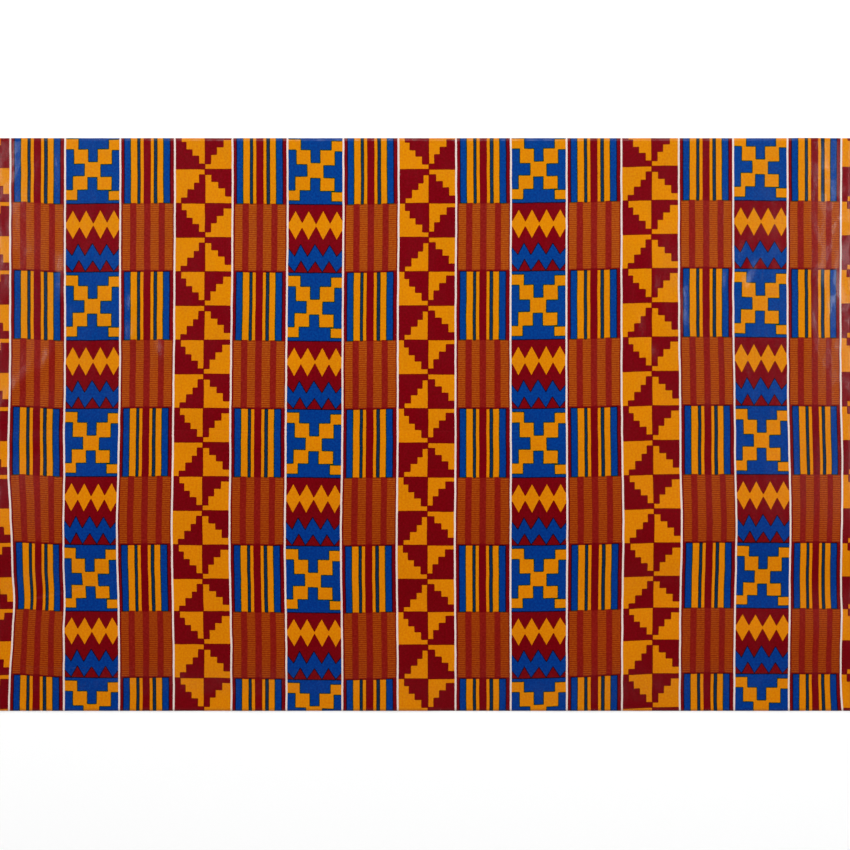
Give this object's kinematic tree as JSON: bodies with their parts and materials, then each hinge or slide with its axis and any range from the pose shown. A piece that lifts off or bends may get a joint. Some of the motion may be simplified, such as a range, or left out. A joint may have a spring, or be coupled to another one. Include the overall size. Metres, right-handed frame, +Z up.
{
  "type": "wax print fabric",
  "caption": "Cut length of wax print cotton in printed strip-cloth patterns, lying flat on a surface with low soft folds.",
  "frame": {"origin": "middle of the cloth's underside, on the surface that it lies on", "axes": "+X along the long side, +Y along the printed strips to the edge that is at the top in the picture, +Z up"},
  "size_m": [0.999, 0.6714, 0.0075],
  "materials": {
    "printed_cotton": "glazed plain-weave cotton, printed in maroon, gold, orange, blue and white"
  },
  "bodies": {
    "root": {"printed_cloth": "printed_cotton"}
  },
  "joints": []
}
